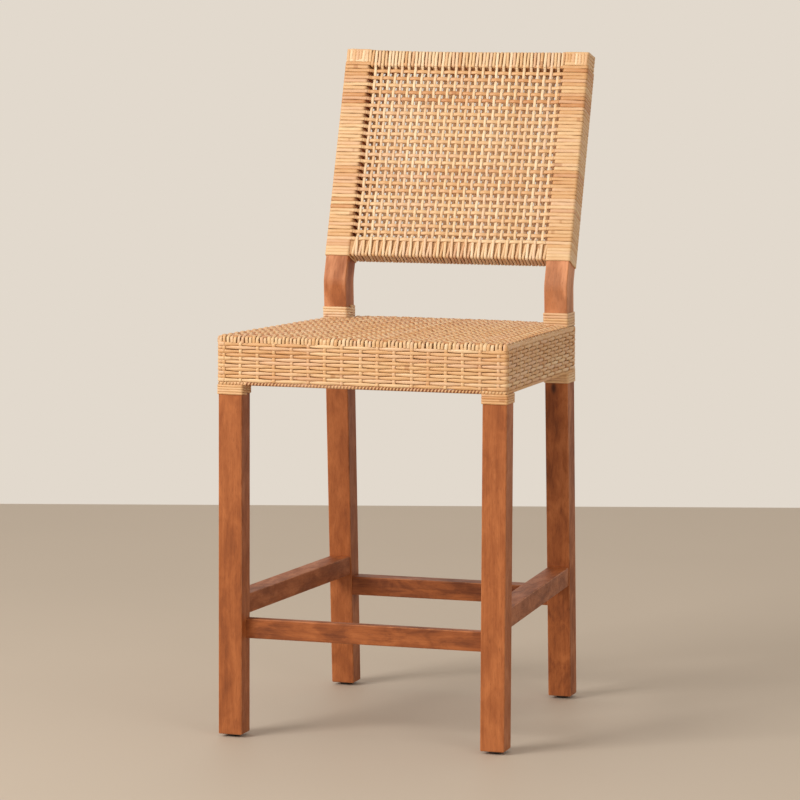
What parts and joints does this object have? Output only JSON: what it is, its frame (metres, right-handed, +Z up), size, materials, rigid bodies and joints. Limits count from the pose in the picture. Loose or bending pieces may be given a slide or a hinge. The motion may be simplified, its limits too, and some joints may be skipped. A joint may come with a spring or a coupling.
{
  "type": "counter stool",
  "caption": "Counter stool with square hardwood legs, stretchers, a footrest rail, a box seat and a raked back panel, seat and back hand woven in rattan cane.",
  "frame": {"origin": "on the floor, under the middle of the stool's overall box", "axes": "+Z up, the stool faces -Y, and +X is to the right for someone looking at the front of the stool"},
  "size_m": [0.4628, 0.5925, 1.0513],
  "materials": {
    "stained_wood": "satin red-brown stain",
    "hidden_wood": "plain planed",
    "cane": "natural rattan cane, semi-matt",
    "steel_hardware": "zinc plated",
    "glide_plastic": "matt"
  },
  "bodies": {
    "root": {"back_bottom_rail": "hidden_wood", "back_stretcher": "stained_wood", "back_top_rail": "hidden_wood", "back_web_front": "cane", "back_web_rear": "cane", "border_front": "cane", "border_left": "cane", "border_rear": "cane", "border_right": "cane", "bottom_rail_wrap": "cane", "corner_block_front_left": "hidden_wood", "corner_block_front_right": "hidden_wood", "corner_block_rear_left": "hidden_wood", "corner_block_rear_right": "hidden_wood", "corner_block_screws": "steel_hardware", "floor_glides": "glide_plastic", "front_collar_left": "cane", "front_collar_right": "cane", "front_leg_left": "stained_wood", "front_leg_right": "stained_wood", "front_stretcher": "stained_wood", "glide_nails": "steel_hardware", "post_wrap_left": "cane", "post_wrap_right": "cane", "rail_dowels": "hidden_wood", "rear_collar_left": "cane", "rear_collar_right": "cane", "rear_post_left": "stained_wood", "rear_post_right": "stained_wood", "seat_bearer_left": "hidden_wood", "seat_bearer_right": "hidden_wood", "seat_deck": "cane", "seat_rail_front": "hidden_wood", "seat_rail_left": "hidden_wood", "seat_rail_rear": "hidden_wood", "seat_rail_right": "hidden_wood", "side_stretcher_left": "stained_wood", "side_stretcher_right": "stained_wood", "skirt_front": "cane", "skirt_left": "cane", "skirt_rear": "cane", "skirt_right": "cane", "top_rail_wrap": "cane", "upper_collar_left": "cane", "upper_collar_right": "cane"}
  },
  "joints": []
}
